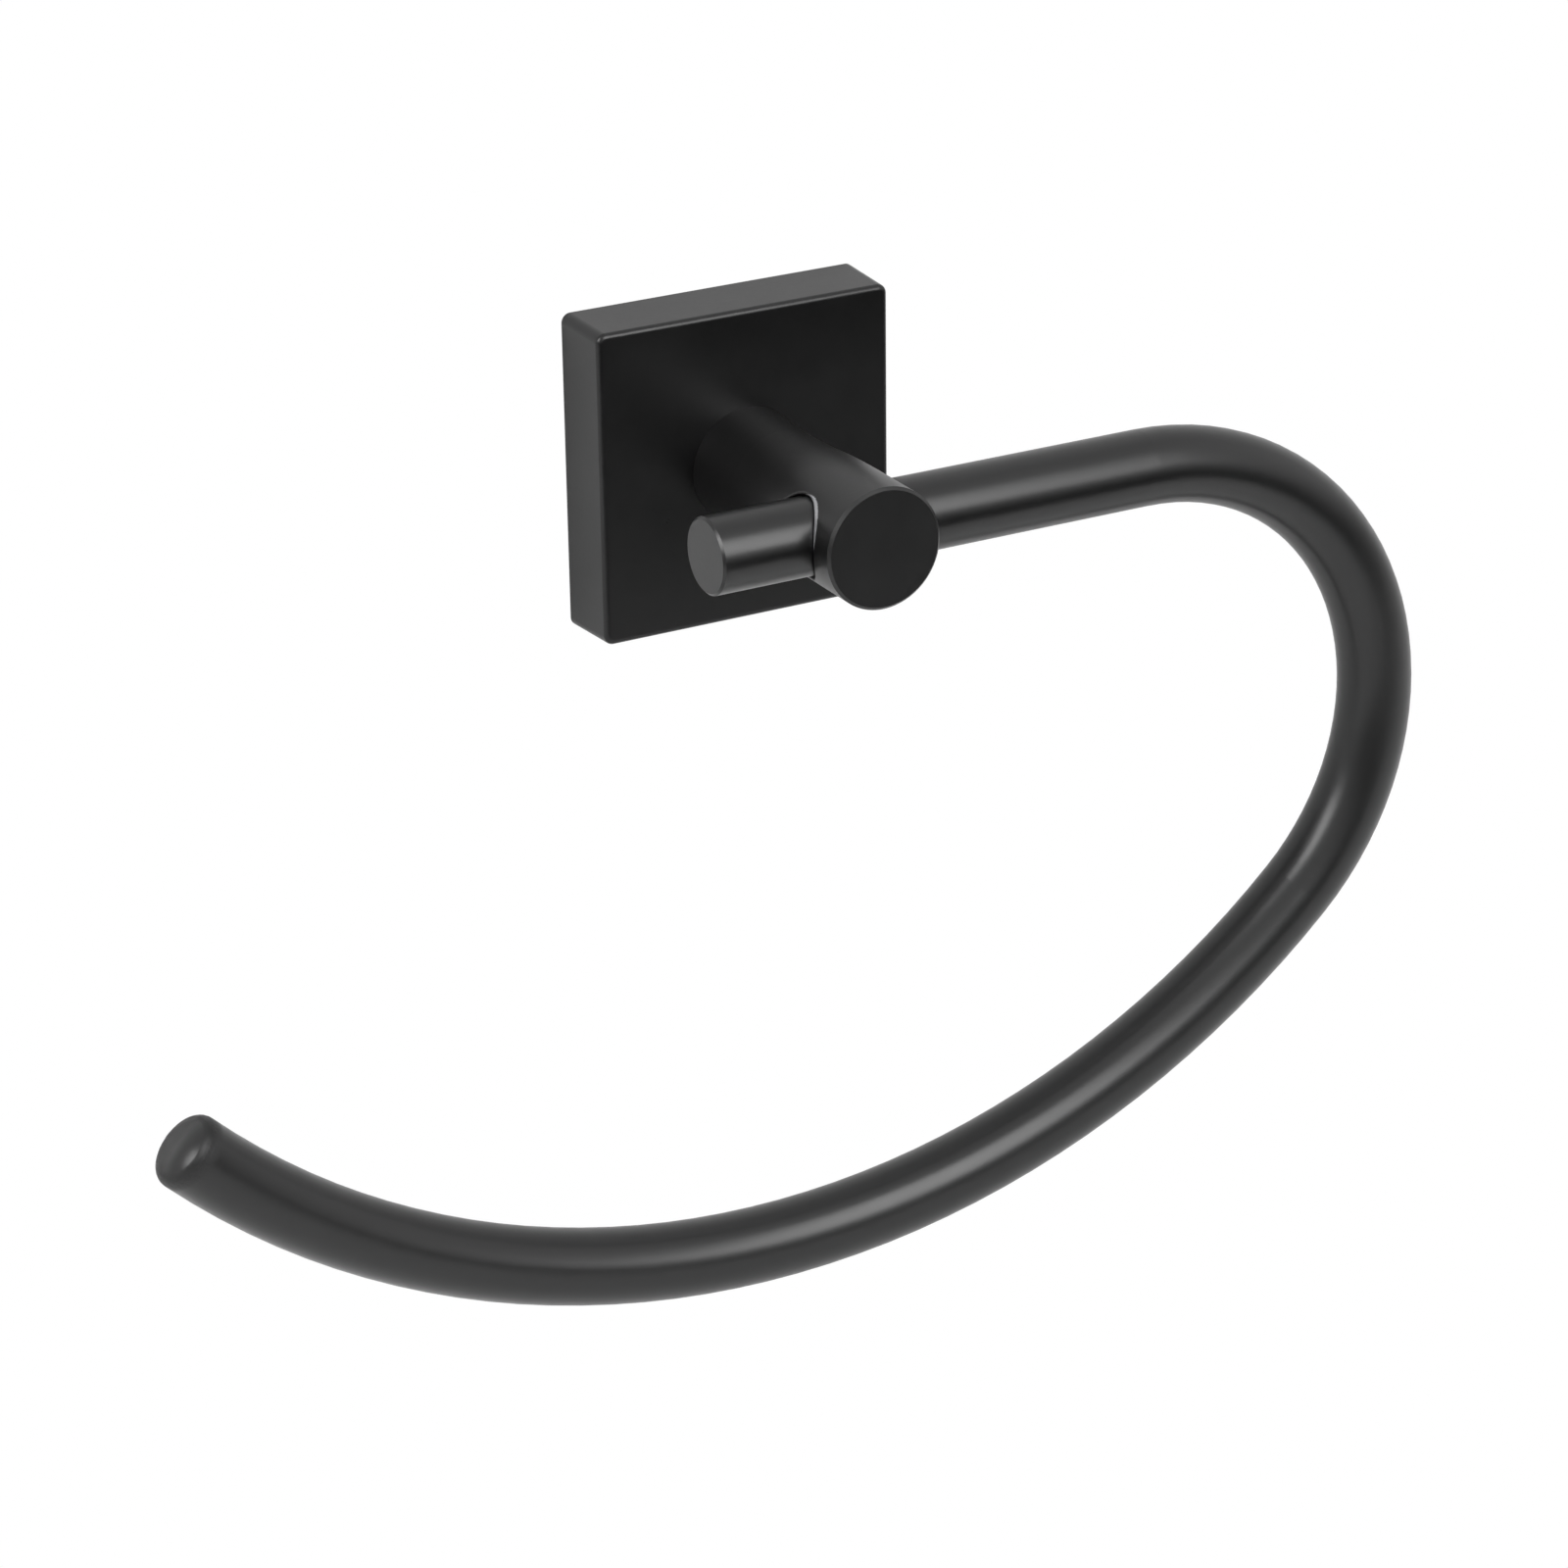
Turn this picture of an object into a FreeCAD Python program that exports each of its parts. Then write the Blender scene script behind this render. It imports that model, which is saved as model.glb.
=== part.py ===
"""A wall-mounted towel ring: a square cover, a waisted post and one bent round bar.

The wall is the plane y = 0 and the ring stands out from it towards -Y. +Z is up and +X is to the
right as someone facing the wall sees it. The origin is the middle of the cover's back, so the
post's axis is the line x = 0, z = 0. Every length is in millimetres and every angle in degrees.
"""
import FreeCAD
import Part
import math
import os

import Sketcher

# Driving sizes, each with what it measures.
SIZES = {
    # The square cover that hides the wall bracket.
    "cover_side": (54.0, "width and height of the cover where it meets the wall"),
    "cover_depth": (12.2, "from the wall to the cover's front face"),
    "cover_draft": (1.9, "taper of each side wall towards the front, as a casting has"),
    "cover_corner": (1.6, "radius of the four corners seen from the front"),
    "cover_edge": (0.9, "rounding of the edges of the front face"),
    "cover_wall": (2.5, "thickness of the side walls at the wall end"),
    "cover_face": (3.0, "thickness of the front wall"),
    "cavity_corner": (1.2, "radius of the four inner corners"),
    # The post.
    "post_reach": (57.5, "from the wall to the post's front face"),
    "base_radius": (10.0, "radius of the post where it stands on the cover"),
    "waist_depth": (0.55, "how much slimmer the waist is, in radius"),
    "waist_reach": (24.0, "from the wall to the waist"),
    "head_swell": (0.15, "how much stouter than the base the straight head is, in radius"),
    "head_length": (13.5, "length of that straight head"),
    "head_break": (0.5, "bevel round the front face"),
    "spigot_diameter": (10.0, "round part of the spigot that sits in the cover"),
    "spigot_flat_depth": (1.0, "depth of each of the two flats that keep the post from turning"),
    "spigot_short": (0.4, "how far the spigot stops short of the cover's inner face"),
    "spigot_clearance": (0.1, "gap round the spigot"),
    # The bent bar.
    "bar_diameter": (12.7, "diameter of the round bar"),
    "bar_set_back": (11.5, "from the post's front face to the bar's centre line"),
    "stub_length": (25.7, "from the post's axis to the flat end on the left"),
    "arm_length": (54.5, "from the post's axis to where the bend begins on the right"),
    "bend_radius": (48.2, "centre-line radius of the tight bend"),
    "bend_angle": (136.3, "turn of the tight bend"),
    "sweep_radius": (146.5, "centre-line radius of the long bottom sweep"),
    "sweep_angle": (89.6, "turn of the long bottom sweep"),
    "stub_bevel": (0.4, "bevel round the flat end"),
    "tip_round": (1.6, "rounding of the open end"),
    "bore_clearance": (0.15, "gap all round the bar in the post's cross bore"),
    "mouth_round": (0.4, "rounding of the cross bore's two mouths"),
    # The screw from behind that holds the post on the cover, and its spring washer.
    "post_screw_diameter": (6.0, "outside of its thread"),
    "post_screw_length": (16.0, "length under the head"),
    "post_screw_head": (10.0, "diameter of its low head"),
    "post_screw_head_room": (2.1, "gap between its low head and the wall bracket"),
    "post_screw_key": (4.0, "across the flats of its hexagon socket"),
    "post_screw_key_depth": (2.3, "depth of that socket"),
    "post_screw_bevel": (0.4, "bevel at its end"),
    "post_thread_spare": (2.5, "tapped depth left beyond the end of the screw"),
    "thread_clearance": (0.1, "gap left round every thread"),
    "washer_margin": (0.9, "how far the spring washer reaches past the spigot all round"),
    "washer_clearance": (0.2, "gap between the spring washer and the screw"),
    "washer_thickness": (1.6, "thickness of the spring washer, pressed flat"),
    "washer_split": (0.6, "gap at its split"),
    # The grub screws.
    "grub_diameter": (4.0, "outside of the grub screws' thread"),
    "grub_key": (2.0, "across the flats of their hexagon sockets"),
    "grub_key_depth": (1.6, "depth of those sockets"),
    "grub_bevel": (0.4, "bevel at their ends"),
    "bar_grub_length": (3.0, "length of the grub screw under the bar"),
    "cover_grub_length": (6.0, "length of the grub screw in the cover"),
    "cover_grub_reach": (4.0, "from the wall to the axis of that screw"),
    "seat_gap": (0.15, "gap left where a grub screw's point bears"),
    # The folded bracket that is screwed to the wall.
    "bracket_width": (26.0, "its width"),
    "bracket_sheet": (1.5, "thickness of its steel sheet"),
    "lip_reach": (5.0, "how far its two slanted lips stand out from the wall"),
    "lip_room": (3.0, "gap between each lip's edge and the cover's inside"),
    "lip_corner": (2.0, "radius of the lips' corners"),
    "fold_round": (0.6, "inside radius of its folds"),
    "bracket_hole": (4.8, "diameter of its two screw holes"),
    "bracket_hole_inset": (6.5, "from each fold to the centre of its screw hole"),
    # The lug and the boss inside the cover that meet the bracket.
    "lug_width": (16.0, "width of the lug that hangs on the upper lip"),
    "lug_set_back": (1.0, "how far the lug and boss stay clear of the wall"),
    "lug_reach": (4.5, "from the wall to the lug's outer face"),
    "hang_gap": (0.3, "gap between the lug and the lip"),
    "boss_width": (10.0, "width of the boss round the grub screw"),
    "boss_height": (2.1, "how far the boss rises above the bottom wall's inside"),
}

DOC = FreeCAD.newDocument("towel_ring")
SHEET = DOC.addObject("Spreadsheet::Sheet", "Sizes")
for row, (alias, (value, meaning)) in enumerate(SIZES.items(), start=1):
    SHEET.set(f"A{row}", meaning)
    SHEET.set(f"B{row}", str(value))
    SHEET.setAlias(f"B{row}", alias)
DOC.recompute()

# The index numbers by which a sketch's constraints know its own origin and axes.
ORIGIN_INDEX = (-1, 1)
HORIZONTAL_INDEX = -1
VERTICAL_INDEX = -2

# How far a cut runs past the solid, and the least volume that a real cut takes away.
OVERSHOOT = 1
LEAST_CUT = 0.5

# Places and sizes that several features share: cells that work themselves out from those above.
SHARED = {
    "waist_radius": ("base_radius - waist_depth", "smallest radius of the post"),
    "head_radius": ("base_radius + head_swell", "radius of the post's head"),
    "bar_reach": ("post_reach - bar_set_back", "from the wall to the bar's centre line"),
    "bore_radius": ("bar_diameter / 2 + bore_clearance", "radius of the post's cross bore"),
    "cover_inside": ("cover_depth - cover_face", "from the wall to the cover's inner face"),
    "inner_half": ("cover_side / 2 - cover_wall", "from the middle to a side wall's inside"),
    "wall_middle": ("cover_side / 2 - cover_wall / 2", "from the middle to the middle of a side wall"),
    "spigot_top": ("cover_inside + spigot_short", "from the wall to the spigot's end"),
    "screw_seat": ("cover_inside - washer_thickness", "from the wall to under the post screw's head"),
    "screw_head_height": ("screw_seat - bracket_sheet - post_screw_head_room", "height of that head"),
    "screw_end": ("screw_seat + post_screw_length", "from the wall to the post screw's end"),
    "thread_end": ("screw_end + post_thread_spare", "from the wall to the end of its tapped hole"),
    "grub_bore": ("grub_diameter + 2 * thread_clearance", "diameter of the grub screws' tapped holes"),
    "fold_height": ("inner_half - lip_room - lip_reach", "from the middle of the bracket to each fold"),
    "hole_height": ("fold_height - bracket_hole_inset", "from there to each screw hole"),
}
for row, (alias, (formula, meaning)) in enumerate(SHARED.items(), start=len(SIZES) + 1):
    SHEET.set(f"A{row}", meaning)
    SHEET.set(f"B{row}", f"={formula}")
    SHEET.setAlias(f"B{row}", alias)
    DOC.recompute()


def size(alias):
    """The number that the sheet holds under that name."""
    return float(SHEET.get(alias))


def new_body(name):
    """An empty body with the name that its file will have."""
    body = DOC.addObject("PartDesign::Body", name)
    body.Label = name
    return body


def place(body, **formulas):
    """Ties the body's position to the sheet, such as y="-Sizes.bar_reach"."""
    for axis, formula in formulas.items():
        body.setExpression(f".Placement.Base.{axis}", formula)
    DOC.recompute()


def new_sketch(body, name, plane, offset=None):
    """A sketch on one of the body's own planes, moved along that plane's normal by a formula."""
    sketch = body.newObject("Sketcher::SketchObject", name)
    role = plane + "_Plane"
    sketch.AttachmentSupport = [(next(f for f in body.Origin.OriginFeatures if f.Role == role), "")]
    sketch.MapMode = "FlatFace"
    if offset:
        sketch.setExpression(".AttachmentOffset.Base.z", offset)
    return sketch


def line(sketch, start, end):
    """Adds a straight line and returns its number."""
    first = FreeCAD.Vector(*start, 0)
    last = FreeCAD.Vector(*end, 0)
    return sketch.addGeometry(Part.LineSegment(first, last), False)


def circle(sketch, radius, centre=(0, 0)):
    """Adds a circle and returns its number."""
    whole = Part.Circle(FreeCAD.Vector(*centre, 0), FreeCAD.Vector(0, 0, 1), radius)
    return sketch.addGeometry(whole, False)


def arc(sketch, centre, radius, start, end):
    """Adds an arc, anticlockwise between two angles, and returns its number."""
    whole = Part.Circle(FreeCAD.Vector(*centre, 0), FreeCAD.Vector(0, 0, 1), radius)
    return sketch.addGeometry(Part.ArcOfCircle(whole, math.radians(start), math.radians(end)), False)


def join(sketch, first, first_end, second, second_end, kind="Coincident"):
    """Joins two ends, and makes them run smoothly on with kind="Tangent"."""
    sketch.addConstraint(Sketcher.Constraint(kind, first, first_end, second, second_end))


def dimension(sketch, name, formula, kind, *where):
    """Adds a named dimension and ties it to the sheet."""
    angle = kind == "Angle"
    value = math.radians(90) if angle else 1.0
    measured = {"DistanceX": 0, "DistanceY": 1}
    if kind in measured and len(where) == 4:
        near = sketch.getPoint(where[0], where[1])[measured[kind]]
        far = sketch.getPoint(where[2], where[3])[measured[kind]]
        value = far - near
    number = sketch.addConstraint(Sketcher.Constraint(kind, *where, value))
    sketch.renameConstraint(number, name)
    sketch.setExpression(f"Constraints.{name}", formula)


def centred_circle(sketch, name, diameter):
    """A circle about the sketch's origin whose diameter is a formula."""
    ring = circle(sketch, 5)
    sketch.addConstraint(Sketcher.Constraint("Coincident", ring, 3, *ORIGIN_INDEX))
    dimension(sketch, name, diameter, "Diameter", ring)


def circle_on_axis(sketch, name, centre, distance, diameter):
    """A circle on one of the sketch's axes, its distance from the origin and its diameter formulas."""
    ring = circle(sketch, 2, centre)
    upright = centre[0] == 0
    axis = VERTICAL_INDEX if upright else HORIZONTAL_INDEX
    sketch.addConstraint(Sketcher.Constraint("PointOnObject", ring, 3, axis))
    ends = (*ORIGIN_INDEX, ring, 3) if sum(centre) > 0 else (ring, 3, *ORIGIN_INDEX)
    dimension(sketch, f"{name}_place", distance, "DistanceY" if upright else "DistanceX", *ends)
    dimension(sketch, f"{name}_bore", diameter, "Diameter", ring)


def polygon(sketch, corners):
    """Adds a closed run of lines through the corners and returns their numbers."""
    lines = []
    for start, end in zip(corners, corners[1:] + corners[:1]):
        lines.append(line(sketch, start, end))
    for first, second in zip(lines, lines[1:] + lines[:1]):
        join(sketch, first, 2, second, 1)
    return lines


def rectangle(sketch, low, high):
    """Adds an upright rectangle and returns its bottom, right, top and left lines."""
    corners = [low, (high[0], low[1]), high, (low[0], high[1])]
    lines = polygon(sketch, corners)
    for number in lines[0::2]:
        sketch.addConstraint(Sketcher.Constraint("Horizontal", number))
    for number in lines[1::2]:
        sketch.addConstraint(Sketcher.Constraint("Vertical", number))
    return lines


def centred_rectangle(sketch, width, height):
    """A rectangle about the sketch's origin whose width and height are formulas."""
    bottom, right, top, left = rectangle(sketch, (-10, -10), (10, 10))
    sketch.addConstraint(Sketcher.Constraint("Symmetric", bottom, 1, top, 1, *ORIGIN_INDEX))
    dimension(sketch, "width", width, "DistanceX", bottom, 1, bottom, 2)
    dimension(sketch, "height", height, "DistanceY", right, 1, right, 2)


def feature(body, kind, name, profile=None, **settings):
    """Adds a solid feature to the body and makes it the body's tip."""
    item = body.newObject(f"PartDesign::{kind}", name)
    if profile is not None:
        item.Profile = profile
    for setting, value in settings.items():
        if isinstance(value, str) and "Sizes." in value:
            item.setExpression(setting, value)
        else:
            setattr(item, setting, value)
    body.Tip = item
    DOC.recompute()
    for part in (profile, item):
        if part is not None and ("Invalid" in part.State or "Error" in part.State):
            raise RuntimeError(f"{part.Name} failed: {part.getStatusString()}")
    return item


def cut(body, name, profile, **settings):
    """Pockets the body, and stops if that took nothing away because it points out of the solid."""
    before = body.Shape.Volume
    pocket = feature(body, "Pocket", name, profile, **settings)
    if pocket.Shape.Volume > before - LEAST_CUT:
        raise RuntimeError(f"{name} cut nothing")
    return pocket


def edges_where(shape, test):
    """The names of the shape's edges whose middle points pass the test."""
    names = []
    for number, edge in enumerate(shape.Edges, start=1):
        middle = edge.valueAt((edge.FirstParameter + edge.LastParameter) / 2)
        if test(middle, edge):
            names.append(f"Edge{number}")
    if not names:
        raise RuntimeError("no edge passed the test")
    return names


def near(value, target, tolerance=0.02):
    """True where two lengths are the same."""
    return abs(value - target) < tolerance


def dress(body, kind, name, base, edges, amount):
    """A fillet or a chamfer on some edges of the base, its size a formula."""
    measure = "Radius" if kind == "Fillet" else "Size"
    return feature(body, kind, name, Base=(base, edges), **{measure: amount})


def hexagon(sketch, across):
    """A hexagon about the sketch's origin, two of its sides upright; across is a formula."""
    rough = 3
    turns = [math.radians(angle) for angle in range(30, 390, 60)]
    sides = polygon(sketch, [(rough * math.cos(turn), rough * math.sin(turn)) for turn in turns])
    around = circle(sketch, rough)
    sketch.setConstruction(around, True)
    sketch.addConstraint(Sketcher.Constraint("Coincident", around, 3, *ORIGIN_INDEX))
    for side in sides:
        sketch.addConstraint(Sketcher.Constraint("PointOnObject", side, 1, around))
    for first, second in zip(sides, sides[1:]):
        sketch.addConstraint(Sketcher.Constraint("Equal", first, second))
    sketch.addConstraint(Sketcher.Constraint("Vertical", sides[2]))
    dimension(sketch, "across", f"{across} / cos(30)", "Diameter", around)


def make_cover_plate():
    """The square cast cover: an open-backed cup with a hole for the post and two lands inside."""
    body = new_body("cover_plate")
    outline = new_sketch(body, "cover_outline", "XZ")
    centred_rectangle(outline, "Sizes.cover_side", "Sizes.cover_side")
    block = feature(body, "Pad", "cover_block", outline,
                    Length="Sizes.cover_depth", TaperAngle="-Sizes.cover_draft")
    front = -size("cover_depth")
    uprights = edges_where(block.Shape, lambda p, e: near(p.y, front / 2))
    rounded = dress(body, "Fillet", "cover_corners", block, uprights, "Sizes.cover_corner")
    rim = edges_where(rounded.Shape, lambda p, e: near(p.y, front))
    softened = dress(body, "Fillet", "cover_front_edges", rounded, rim, "Sizes.cover_edge")

    hollow = new_sketch(body, "cover_hollow_outline", "XZ")
    centred_rectangle(hollow, "2 * Sizes.inner_half", "2 * Sizes.inner_half")
    pocket = cut(body, "cover_hollow", hollow, Length="Sizes.cover_inside", Reversed=True)
    inner = size("inner_half")
    corners = edges_where(pocket.Shape, lambda p, e: near(abs(p.x), inner) and near(abs(p.z), inner))
    dress(body, "Fillet", "cover_hollow_corners", pocket, corners, "Sizes.cavity_corner")

    # The lug inside the top wall. Its slanted underside lies along the bracket's upper lip.
    lug = new_sketch(body, "lug_outline", "YZ")
    fold = size("fold_height") + size("hang_gap") * math.sqrt(2)
    root = size("wall_middle")
    clear = size("lug_set_back")
    reach = size("lug_reach")
    lug_corners = [(-clear, fold + clear), (-reach, fold + reach), (-reach, root), (-clear, root)]
    slant, outer, top, back = polygon(lug, lug_corners)
    lug.addConstraint(Sketcher.Constraint("Vertical", outer))
    lug.addConstraint(Sketcher.Constraint("Horizontal", top))
    lug.addConstraint(Sketcher.Constraint("Vertical", back))
    dimension(lug, "set_back", "Sizes.lug_set_back", "DistanceX", slant, 1, *ORIGIN_INDEX)
    dimension(lug, "reach", "Sizes.lug_reach", "DistanceX", slant, 2, *ORIGIN_INDEX)
    dimension(lug, "root", "Sizes.wall_middle", "DistanceY", *ORIGIN_INDEX, top, 1)
    foot = "Sizes.fold_height + Sizes.lug_set_back + Sizes.hang_gap / sin(45)"
    dimension(lug, "foot", foot, "DistanceY", *ORIGIN_INDEX, slant, 1)
    nose = "Sizes.fold_height + Sizes.lug_reach + Sizes.hang_gap / sin(45)"
    dimension(lug, "nose", nose, "DistanceY", *ORIGIN_INDEX, slant, 2)
    feature(body, "Pad", "lug", lug, Length="Sizes.lug_width", Midplane=True)

    # The boss inside the bottom wall that gives the grub screw enough thread.
    boss = new_sketch(body, "boss_outline", "YZ")
    deep = size("cover_inside") + size("cover_face") / 2
    rise = inner - size("boss_height")
    bottom, right, top, left = rectangle(boss, (-deep, -root), (-clear, -rise))
    dimension(boss, "set_back", "Sizes.lug_set_back", "DistanceX", right, 1, *ORIGIN_INDEX)
    into_face = "Sizes.cover_inside + Sizes.cover_face / 2"
    dimension(boss, "inside", into_face, "DistanceX", left, 1, *ORIGIN_INDEX)
    dimension(boss, "root", "Sizes.wall_middle", "DistanceY", bottom, 1, *ORIGIN_INDEX)
    dimension(boss, "rise", "Sizes.inner_half - Sizes.boss_height", "DistanceY", top, 1, *ORIGIN_INDEX)
    feature(body, "Pad", "boss", boss, Length="Sizes.boss_width", Midplane=True)

    # The hole for the post's spigot, with two flats so that the post can't turn.
    seat = new_sketch(body, "spigot_hole_outline", "XZ")
    double_flat(seat, "Sizes.spigot_clearance")
    cut(body, "spigot_hole", seat, Length=f"Sizes.cover_depth + {OVERSHOOT}", Reversed=True)

    # The tapped hole for the grub screw, down through the boss and the bottom wall.
    above_boss = f"{OVERSHOOT} + Sizes.boss_height - Sizes.inner_half"
    tapped = new_sketch(body, "cover_tapped_outline", "XY", above_boss)
    axis = (0, -size("cover_grub_reach"))
    circle_on_axis(tapped, "tapped", axis, "Sizes.cover_grub_reach", "Sizes.grub_bore")
    through = f"Sizes.cover_wall + Sizes.boss_height + 2 * {OVERSHOOT}"
    cut(body, "cover_tapped_hole", tapped, Length=through)
    return body


def double_flat(sketch, gap="0"):
    """The spigot's section, larger all round by a gap: a circle with a flat on each side."""
    radius = size("spigot_diameter") / 2
    half = radius - size("spigot_flat_depth")
    lean = math.degrees(math.acos(half / radius))
    top = arc(sketch, (0, 0), radius, lean, 180 - lean)
    bottom = arc(sketch, (0, 0), radius, 180 + lean, 360 - lean)
    rise = radius * math.sin(math.radians(lean))
    left = line(sketch, (-half, rise), (-half, -rise))
    right = line(sketch, (half, -rise), (half, rise))
    join(sketch, top, 2, left, 1)
    join(sketch, left, 2, bottom, 1)
    join(sketch, bottom, 2, right, 1)
    join(sketch, right, 2, top, 1)
    for curve in (top, bottom):
        sketch.addConstraint(Sketcher.Constraint("Coincident", curve, 3, *ORIGIN_INDEX))
    for flat in (left, right):
        sketch.addConstraint(Sketcher.Constraint("Vertical", flat))
    sketch.addConstraint(Sketcher.Constraint("Equal", top, bottom))
    dimension(sketch, "radius", f"Sizes.spigot_diameter / 2 + {gap}", "Radius", top)
    half_across = f"Sizes.spigot_diameter / 2 - Sizes.spigot_flat_depth + {gap}"
    dimension(sketch, "left_flat", half_across, "DistanceX", left, 1, *ORIGIN_INDEX)
    dimension(sketch, "right_flat", half_across, "DistanceX", *ORIGIN_INDEX, right, 2)


def make_post():
    """The turned post: waisted between the cover and a straight head, with a cross bore for the bar."""
    body = new_body("post")
    profile = new_sketch(body, "post_profile", "XY")
    foot = -size("cover_depth")
    reach = -size("post_reach")
    base = size("base_radius")
    waist = size("waist_radius")
    head = size("head_radius")
    bevel = size("head_break")
    waist_y = -size("waist_reach")
    head_y = reach + size("head_length")
    # One hollow arc narrows the foot to the waist, and two arcs of one radius widen it to the head.
    narrowing = base - waist
    hollow = (narrowing ** 2 + (foot - waist_y) ** 2) / (2 * narrowing)
    widening = head - waist
    ogee = (widening ** 2 + (waist_y - head_y) ** 2) / (4 * widening)
    lean = math.degrees(math.atan2(waist_y - head_y, 2 * ogee - widening))
    start = math.degrees(math.atan2(foot - waist_y, base - waist - hollow))
    floor = line(profile, (0, foot), (base, foot))
    waist_arc = arc(profile, (waist + hollow, waist_y), hollow, start, 180)
    rise_arc = arc(profile, (waist + ogee, waist_y), ogee, 180, 180 + lean)
    neck_arc = arc(profile, (head - ogee, head_y), ogee, 0, lean)
    side = line(profile, (head, head_y), (head, reach + bevel))
    corner = line(profile, (head, reach + bevel), (head - bevel, reach))
    front = line(profile, (head - bevel, reach), (0, reach))
    axis = line(profile, (0, reach), (0, foot))
    join(profile, floor, 2, waist_arc, 1)
    join(profile, waist_arc, 2, rise_arc, 1, "Tangent")
    join(profile, rise_arc, 2, neck_arc, 2, "Tangent")
    join(profile, neck_arc, 1, side, 1, "Tangent")
    join(profile, side, 2, corner, 1)
    join(profile, corner, 2, front, 1)
    join(profile, front, 2, axis, 1)
    join(profile, axis, 2, floor, 1)
    profile.addConstraint(Sketcher.Constraint("Horizontal", floor))
    profile.addConstraint(Sketcher.Constraint("Vertical", side))
    profile.addConstraint(Sketcher.Constraint("Horizontal", front))
    profile.addConstraint(Sketcher.Constraint("PointOnObject", axis, 1, VERTICAL_INDEX))
    profile.addConstraint(Sketcher.Constraint("PointOnObject", axis, 2, VERTICAL_INDEX))
    dimension(profile, "foot", "Sizes.cover_depth", "DistanceY", axis, 2, *ORIGIN_INDEX)
    dimension(profile, "reach", "Sizes.post_reach", "DistanceY", axis, 1, *ORIGIN_INDEX)
    dimension(profile, "base", "Sizes.base_radius", "DistanceX", *ORIGIN_INDEX, floor, 2)
    dimension(profile, "waist_place", "Sizes.waist_reach", "DistanceY", waist_arc, 3, *ORIGIN_INDEX)
    dimension(profile, "waist", "Sizes.waist_radius", "DistanceX", *ORIGIN_INDEX, waist_arc, 2)
    profile.addConstraint(Sketcher.Constraint("Equal", rise_arc, neck_arc))
    dimension(profile, "head", "Sizes.head_radius", "DistanceX", *ORIGIN_INDEX, side, 1)
    head_from_wall = "Sizes.post_reach - Sizes.head_length"
    dimension(profile, "head_place", head_from_wall, "DistanceY", side, 1, *ORIGIN_INDEX)
    dimension(profile, "bevel_in", "Sizes.head_break", "DistanceX", corner, 2, corner, 1)
    dimension(profile, "bevel_back", "Sizes.head_break", "DistanceY", corner, 2, corner, 1)
    post_axis = (profile, ["V_Axis"])
    feature(body, "Revolution", "post_turning", profile, Angle=360.0, ReferenceAxis=post_axis)

    # The spigot that sits in the cover, and the tapped hole up through it.
    spigot = new_sketch(body, "spigot_outline", "XZ", "Sizes.spigot_top")
    double_flat(spigot)
    feature(body, "Pad", "spigot", spigot, Length="Sizes.cover_face")
    tapped = new_sketch(body, "post_tapped_outline", "XZ", "Sizes.thread_end")
    centred_circle(tapped, "tapped", "Sizes.post_screw_diameter + 2 * Sizes.thread_clearance")
    cut(body, "post_tapped_hole", tapped, Length=f"Sizes.thread_end - Sizes.spigot_top + {OVERSHOOT}")

    # The cross bore for the bar, the edges of its two mouths rounded.
    crossing = new_sketch(body, "cross_bore_outline", "YZ")
    middle = -size("bar_reach")
    radius = size("bore_radius")
    circle_on_axis(crossing, "cross", (middle, 0), "Sizes.bar_reach", "2 * Sizes.bore_radius")
    bored = cut(body, "cross_bore", crossing, Length="3 * Sizes.head_radius", Midplane=True)

    def at_mouth(point, edge):
        """True on the edges where the bore leaves the post, and not on the bore's own seam."""
        return near(math.hypot(point.y - middle, point.z), radius) and not near(point.x, 0)
    mouths = edges_where(bored.Shape, at_mouth)
    dress(body, "Fillet", "bore_mouths", bored, mouths, "Sizes.mouth_round")

    # The tapped hole under the bar.
    under = new_sketch(body, "under_hole_outline", "XY", "-Sizes.bar_diameter / 2")
    circle_on_axis(under, "under", (0, middle), "Sizes.bar_reach", "Sizes.grub_bore")
    cut(body, "under_hole", under, Length="Sizes.head_radius")
    return body


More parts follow.
